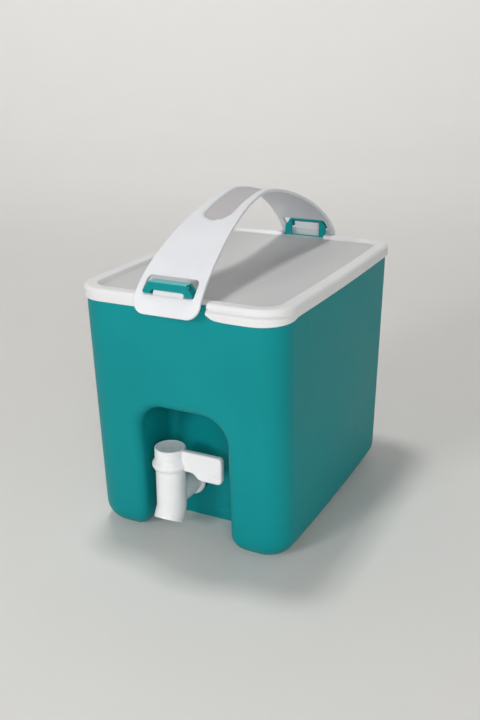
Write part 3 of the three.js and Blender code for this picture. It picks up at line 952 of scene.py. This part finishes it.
# tap's body, in millimetres
tapSizes = {
    "barrelRadius": 14.0,
    "barrelTop": 69.0,
    "bendZ": 31.0,
    "bendDeg": 30.0,
    "spoutLength": 14.0,
    "spoutBore": 9.6,
    "plugBore": 10.6,
    "plugFloor": 25.0,
    "inletBore": 6.5,
    "neckRadius": 11.5,
    "threadRadius": 9.6,
    "threadCrest": 10.35,
    "threadPitch": 2.4,
    "threadRidge": 0.8,
    "flangeRadius": 14.6,
    "flangeThickness": 4.0,
    "flangeRound": 0.8,
    "flangeFace": cadEdges("tap_outer_washer")[0].y - 0.3,
}
tapLook = {
    "deep": (0.79, 0.80, 0.82),
    "pale": (0.84, 0.85, 0.87),
    "speckColour": (0.66, 0.66, 0.66),
    "speckAmount": 0.15,
    "wearColour": (0.70, 0.70, 0.70),
    "wearTint": 0.2,
    "wearLow": 0.002,
    "wearHigh": 0.014,
    "wearEverywhere": 0.15,
    "mottleScale": 30.0,
    "scratchStretch": (1.0, 1.0, 2.5),
    "grainScale": 2200.0,
    "grainDepth": 0.00002,
    "waveDepth": 0.00018,
    "roughLow": 0.26,
    "roughHigh": 0.34,
    "specular": 0.5,
    "softness": 0.10,
    "softRadius": (1.0, 0.95, 0.9),
}
rubberLook = {
    "deep": (0.010, 0.011, 0.012),
    "pale": (0.018, 0.019, 0.020),
    "speckColour": (0.05, 0.05, 0.05),
    "speckAmount": 0.4,
    "wearColour": (0.06, 0.06, 0.06),
    "wearTint": 0.3,
    "wearLow": 0.0,
    "wearHigh": 0.01,
    "wearEverywhere": 0.3,
    "mottleScale": 60.0,
    "scratchStretch": (1.0, 1.0, 1.0),
    "grainScale": 2600.0,
    "grainDepth": 0.00006,
    "waveDepth": 0.0,
    "roughLow": 0.62,
    "roughHigh": 0.75,
    "specular": 0.35,
}


def leanOver(made):
    # tips a spout that was made upright under the origin forward, and puts it at the bend
    turn = Matrix.Rotation(math.radians(-tapSizes["bendDeg"]), 4, "X")
    place = Matrix.Translation(Vector((tapX, tapY, tapSizes["bendZ"])) * mm)
    made.data.transform(place @ turn)
    return made


def startTree(name, sizes):
    # node tree with a named input for each size
    tree = bpy.data.node_groups.new(name, "GeometryNodeTree")
    for way in ("INPUT", "OUTPUT"):
        tree.interface.new_socket("Geometry", in_out=way, socket_type="NodeSocketGeometry")
    for size, value in sizes.items():
        socket = tree.interface.new_socket(size, in_out="INPUT", socket_type="NodeSocketFloat")
        socket.default_value = value
    return tree, addNode(tree, "NodeGroupInput").outputs


def finishTree(tree, mesh, material):
    shade = addNode(tree, "GeometryNodeSetShadeSmooth")
    realize = addNode(tree, "GeometryNodeRealizeInstances")
    paint = addNode(tree, "GeometryNodeSetMaterial")
    paint.inputs["Material"].default_value = material
    end = addNode(tree, "NodeGroupOutput")
    tree.links.new(mesh, shade.inputs["Geometry"])
    tree.links.new(shade.outputs["Geometry"], realize.inputs["Geometry"])
    tree.links.new(realize.outputs["Geometry"], paint.inputs["Geometry"])
    tree.links.new(paint.outputs["Geometry"], end.inputs[0])
    return tree


def circleNode(tree, radius, resolution):
    circle = addNode(tree, "GeometryNodeCurvePrimitiveCircle")
    circle.inputs["Resolution"].default_value = resolution
    tree.links.new(radius, circle.inputs["Radius"])
    return circle.outputs["Curve"]


def sweepNode(tree, path, section, closed=False):
    sweep = addNode(tree, "GeometryNodeCurveToMesh")
    sweep.inputs["Fill Caps"].default_value = closed
    tree.links.new(path, sweep.inputs["Curve"])
    tree.links.new(section, sweep.inputs["Profile Curve"])
    return sweep.outputs["Mesh"]


def threadTree(material):
    # a ridge that winds along the spigot, and ends in one plain mesh
    sizes = {"Turns": 5.0, "Radius": 0.01, "Length": 0.012, "Ridge": 0.0008}
    tree, start = startTree("spigotThread", sizes)
    spiral = addNode(tree, "GeometryNodeCurveSpiral")
    spiral.inputs["Resolution"].default_value = 48
    tree.links.new(start["Turns"], spiral.inputs["Rotations"])
    tree.links.new(start["Radius"], spiral.inputs["Start Radius"])
    tree.links.new(start["Radius"], spiral.inputs["End Radius"])
    tree.links.new(start["Length"], spiral.inputs["Height"])
    ridge = circleNode(tree, start["Ridge"], 8)
    return finishTree(tree, sweepNode(tree, spiral.outputs["Curve"], ridge, True), material)


def ringTree(material):
    # round seal, wire swept round a loop
    tree, start = startTree("sealRing", {"Radius": 0.009, "Wire": 0.0008})
    loop = circleNode(tree, start["Radius"], 72)
    wire = circleNode(tree, start["Wire"], 16)
    return finishTree(tree, sweepNode(tree, loop, wire), material)


def fromTree(name, tree, values, place):
    # plain mesh of a node tree, with its inputs set by their identifiers
    made = newObject(name, [(0, 0, 0)], [])
    nodes = made.modifiers.new("grow", "NODES")
    nodes.node_group = tree
    for item in tree.interface.items_tree:
        if item.item_type == "SOCKET" and item.in_out == "INPUT" and item.name in values:
            nodes[item.identifier] = values[item.name]
    applyAll(made)
    made.data.transform(place)
    return faceOutwards(made)


def spigotThread(material, start, end):
    s = tapSizes
    place = Matrix.Translation(Vector((tapX, start, bodyPlan["inletZ"])) * mm)
    place = place @ Matrix.Rotation(math.radians(-90), 4, "X")
    return fromTree("thread", threadTree(material), {
        "Turns": (end - start) / s["threadPitch"],
        "Radius": (s["threadCrest"] - s["threadRidge"]) * mm,
        "Length": (end - start) * mm,
        "Ridge": s["threadRidge"] * mm,
    }, place)


def buildTapBody(material):
    print("tap: barrel, spout and spigot")
    s = tapSizes
    past = 5.0  # how far a cutting rod stands past the tap
    spigotEnd = cadEdges("tap_body")[1].y
    threadStart = cadEdges("tap_inner_washer")[1].y + 0.6
    tap = rod("tap_barrel", s["barrelRadius"], s["bendZ"], s["barrelTop"], barrelAxis, "z")
    addTo(tap, ball("knee", s["barrelRadius"] - 0.01, (tapX, tapY, s["bendZ"])))
    addTo(tap, leanOver(rod("spout", s["barrelRadius"] - 0.02, -s["spoutLength"], 2.0, (0, 0), "z")))
    addTo(tap, rod("spigot", s["threadRadius"], tapY, spigotEnd - 0.6, spigotAxis))
    flangeBack = s["flangeFace"] - s["flangeThickness"]
    flange = rod("flange", s["flangeRadius"], flangeBack, s["flangeFace"], spigotAxis)
    addTo(tap, roundEdges(flange, s["flangeRound"]))
    addTo(tap, rod("neck", s["neckRadius"], tapY, s["flangeFace"] - 1.0, spigotAxis))
    cutFrom(tap, rod("plugHole", s["plugBore"], s["plugFloor"], s["barrelTop"] + past, barrelAxis, "z"))
    cutFrom(tap, leanOver(rod("spoutHole", s["spoutBore"], -s["spoutLength"] - past, 4.0, (0, 0), "z")))
    cutFrom(tap, rod("inletHole", s["inletBore"], tapY, spigotEnd + past, spigotAxis))
    smooth(tap, 35)
    joinInto(tap, spigotThread(material, threadStart, spigotEnd - 1.4))
    give(tap, material)
    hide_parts("tap_body")
    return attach(tap, "base")


# lever, hub and valve plug, in millimetres
leverSizes = {
    "hubRadius": 14.5,
    "hubTop": leverHigh.z,
    "hubRound": 1.3,
    "hubDish": 0.45,
    "collarRound": 4.4,
    "collarMiddle": 5.0,  # above the hub's underside
    "reach": leverHigh.x - tapX,
    "thickness": 7.0,
    "armBottom": 69.8,
    "armTop": 90.0,
    "paddleBottom": 63.5,
    "paddleLength": 23.0,
    "endRadius": 4.5,
    "edgeRound": 2.1,
    "plugRadius": 10.0,
    "plugCore": 7.0,
    "gap": 0.4,  # between the lever and the barrel
    "port": 6.0,
    "grooveDepth": 1.6,
    "grooveHeight": 2.4,
    "ringHeights": (50.0, 62.0),
}


def hubProfile():
    # radius and height, from the plug's underside up its side and over the hub
    s = leverSizes
    bottom = tapSizes["barrelTop"] + s["gap"]
    plugBottom = tapSizes["plugFloor"] + s["gap"]
    plug, hub, top = s["plugRadius"], s["hubRadius"], s["hubTop"]
    inner = plug - s["grooveDepth"]
    half = s["grooveHeight"] / 2
    profile = [(0.01, plugBottom), (plug - 0.4, plugBottom), (plug, plugBottom + 0.4)]
    for z in s["ringHeights"]:
        profile += [(plug, z - half), (inner, z - half), (inner, z + half), (plug, z + half)]
    profile += [(plug, bottom), (hub - 0.1, bottom)]
    profile += arc(hub + 0.1, bottom + 0.5, 0.5, -90, -20, 3)
    middle, bulge = bottom + s["collarMiddle"], s["collarRound"]
    profile += arc(bodyPlan["collarRadius"] - bulge, middle, bulge, -42, 42, 10)
    profile += [(hub + 0.35, middle + bulge), (hub, middle + bulge + 1.8)]
    profile += arc(hub - s["hubRound"], top - s["hubRound"], s["hubRound"], 0, 90, 6)
    profile += [(hub - 2.4, top - 0.05), (hub - 3.0, top - s["hubDish"]), (0.01, top - s["hubDish"])]
    return profile


def armShape():
    # the arm seen from the front, with the deeper paddle at its end
    s = leverSizes
    end = s["endRadius"]
    bend = s["reach"] - s["paddleLength"] - 10.0
    shape = [(0.0, s["armTop"]), (0.0, s["armBottom"]), (bend, s["armBottom"])]
    shape += curveThrough((bend, s["armBottom"]), (bend + 7, s["armBottom"] - 0.2),
                          (bend + 6, s["paddleBottom"] + 0.4), (bend + 13, s["paddleBottom"]), 12)
    shape += arc(s["reach"] - end, s["paddleBottom"] + end, end, -90, 0, 8)
    shape += arc(s["reach"] - end, s["armTop"] - end, end, 0, 90, 8)
    return [(tapX + x, z) for x, z in shape]


def buildLever(material):
    print("tap: lever, hub and plug")
    s = leverSizes
    past = 5.0  # how far a cutting rod stands past the plug
    inletZ = bodyPlan["inletZ"]
    lever = lathe("tap_lever_arm", hubProfile(), barrelAxis)
    arm = extrude("arm", armShape(), tapY - s["thickness"] / 2, tapY + s["thickness"] / 2)
    addTo(lever, roundEdges(arm, s["edgeRound"], 4, 50))
    coreLow, coreHigh = tapSizes["plugFloor"] - past, inletZ + 8.0
    cutFrom(lever, rod("plugCore", s["plugCore"], coreLow, coreHigh, barrelAxis, "z"))
    cutFrom(lever, rod("port", s["port"], tapX, tapX - s["plugRadius"] - past, (tapY, inletZ), "x"))
    smooth(lever, 35)
    give(lever, material)
    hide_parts("tap_lever")
    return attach(lever, "valve")


# washers and lock nut, in millimetres
fixingSizes = {
    "washerRound": 0.4,
    "nutFlats": 30.0,
    "nutRound": 0.8,
}


def boreFor(low, high):
    # hole for the spigot through a piece between two places along y
    return rod("hole", tubSizes["holeRadius"], low.y - 1, high.y + 1, spigotAxis)


def buildSealsAndNut(tapMaterial, rubber):
    print("tap: washers, rings and lock nut")
    for node in ("tap_outer_washer", "tap_inner_washer"):
        low, high = cadEdges(node)
        washer = rod(node + "_seal", (high.x - low.x) / 2, low.y, high.y, spigotAxis)
        roundEdges(washer, fixingSizes["washerRound"])
        cutFrom(washer, boreFor(low, high))
        smooth(washer)
        give(washer, rubber)
        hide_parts(node)
        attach(washer, "base")

    low, high = cadEdges("tap_lock_nut")
    corner = fixingSizes["nutFlats"] / math.sqrt(3)
    hexagon = [(tapX + corner * math.sin(a), bodyPlan["inletZ"] + corner * math.cos(a)) for a in wholeTurn(6)]
    nut = roundEdges(extrude("tap_lock_nut_hex", hexagon, low.y, high.y), fixingSizes["nutRound"])
    cutFrom(nut, boreFor(low, high))
    smooth(nut)
    give(nut, tapMaterial)
    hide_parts("tap_lock_nut")
    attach(nut, "base")

    tree = ringTree(rubber)
    for node in ("plug_ring_upper", "plug_ring_lower"):
        low, high = cadEdges(node)
        wire = (high.z - low.z) / 2
        place = Matrix.Translation(Vector((tapX, tapY, (low.z + high.z) / 2)) * mm)
        seal = fromTree(node + "_seal", tree, {
            "Radius": ((high.x - low.x) / 2 - wire) * mm,
            "Wire": wire * mm,
        }, place)
        give(seal, rubber)
        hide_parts(node)
        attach(seal, "valve")


studio = {
    "lens": 44.5,
    "sensorWidth": 36.0,
    "cameraPlace": (0.362908, -0.754320, 0.442918),
    "azimuth": 26.282,
    "elevation": 20.022,
    "roll": -0.282,
    "floorColour": (0.80, 0.79, 0.77),
    "floorRadius": 2.7,
    "backdropBend": 1.2,
    "backdropTop": 3.4,
    "skyColour": (0.94, 0.95, 1.0),
    "skyStrength": 0.105,
}
# each light's place, the point it looks at, its size, its power and its colour
lights = {
    "overhead": ((-0.22, 0.05, 1.9), (0.0, 0.0, 0.2), (0.26, 0.26), 10.8, (1.0, 0.99, 0.97)),
    "front": ((-0.55, -2.1, 0.95), (0.0, -0.1, 0.12), (0.5, 0.4), 15.6, (1.0, 0.99, 0.98)),
    "fill": ((1.15, -2.0, 0.95), (0.0, -0.1, 0.1), (0.8, 0.8), 17.4, (1.0, 1.0, 0.99)),
    "backdropGlow": ((-0.9, 1.4, 2.6), (-1.8, 3.6, 1.2), (3.4, 1.2), 54.0, (1.0, 1.0, 1.0)),
    "backdropGlowRear": ((1.0, -1.5, 2.6), (1.9, -3.6, 1.2), (3.4, 1.2), 35.0, (1.0, 1.0, 1.0)),
}


def placeCamera():
    azimuth, elevation, roll = (math.radians(studio[k]) for k in ("azimuth", "elevation", "roll"))
    ahead = Vector((-math.sin(azimuth) * math.cos(elevation), math.cos(azimuth) * math.cos(elevation),
                    -math.sin(elevation)))
    right = ahead.cross(Vector((0, 0, 1))).normalized()
    up = right.cross(ahead)
    rolledRight = right * math.cos(roll) + up * math.sin(roll)
    rolledUp = up * math.cos(roll) - right * math.sin(roll)
    turn = Matrix((rolledRight, rolledUp, -ahead)).transposed().to_4x4()
    camera = bpy.data.objects.new("camera", bpy.data.cameras.new("camera"))
    camera.data.lens = studio["lens"]
    camera.data.sensor_width = studio["sensorWidth"]
    camera.matrix_world = Matrix.Translation(studio["cameraPlace"]) @ turn
    scene.collection.objects.link(camera)
    scene.camera = camera


def buildFloor():
    # pale floor that curves up into a backdrop far away on every side
    flat, bend = studio["floorRadius"], studio["backdropBend"]
    profile = [(flat + bend * math.sin(a), bend * (1 - math.cos(a))) for a in quarterTurn(14)]
    profile.append((flat + bend, studio["backdropTop"]))
    steps = 96
    points = [(r * math.cos(a), r * math.sin(a), z) for r, z in profile for a in wholeTurn(steps)]
    faces = [tuple(range(steps))]
    for row in range(len(profile) - 1):
        below, above = row * steps, (row + 1) * steps
        for i in range(steps):
            j = (i + 1) % steps
            faces.append((below + i, above + i, above + j, below + j))
    mesh = bpy.data.meshes.new("studio_floor")
    mesh.from_pydata(points, [], faces)
    mesh.polygons.foreach_set("use_smooth", [True] * len(faces))
    floor = bpy.data.objects.new("studio_floor", mesh)
    scene.collection.objects.link(floor)
    material = bpy.data.materials.new("pale_floor")
    material.use_nodes = True
    tree = material.node_tree
    shader = tree.nodes["Principled BSDF"]
    coordinates = addNode(tree, "ShaderNodeTexCoord").outputs["Object"]
    cloud = noiseField(tree, coordinates, 6.0, 4.0)
    pale = studio["floorColour"]
    darker = tuple(0.97 * c for c in pale)
    tree.links.new(mixColours(tree, cloud, darker, pale), shader.inputs["Base Color"])
    shader.inputs["Roughness"].default_value = 0.6
    shader.inputs["Specular IOR Level"].default_value = 0.3
    give(floor, material)


def areaLight(name, place, target, size, power, colour):
    data = bpy.data.lights.new(name, "AREA")
    data.shape = "RECTANGLE"
    data.size, data.size_y = size
    data.energy = power
    data.color = colour
    light = bpy.data.objects.new(name, data)
    light.location = place
    light.rotation_euler = (Vector(target) - Vector(place)).to_track_quat("-Z", "Y").to_euler()
    scene.collection.objects.link(light)


def lightStudio():
    for name, (place, target, size, power, colour) in lights.items():
        areaLight(name, place, target, size, power, colour)
    world = bpy.data.worlds.new("studio")
    world.use_nodes = True
    background = world.node_tree.nodes["Background"]
    background.inputs["Color"].default_value = (*studio["skyColour"], 1.0)
    background.inputs["Strength"].default_value = studio["skyStrength"]
    scene.world = world
    scene.view_settings.view_transform = "Standard"
    scene.view_settings.look = "None"


buildTub()
buildLid()
buildStrap()
tapPlastic = mouldedPlastic("glossy_tap_plastic", tapLook)
blackRubber = mouldedPlastic("black_rubber", rubberLook)
buildTapBody(tapPlastic)
buildLever(tapPlastic)
buildSealsAndNut(tapPlastic, blackRubber)
print("studio: floor, lights and camera")
buildFloor()
lightStudio()
placeCamera()
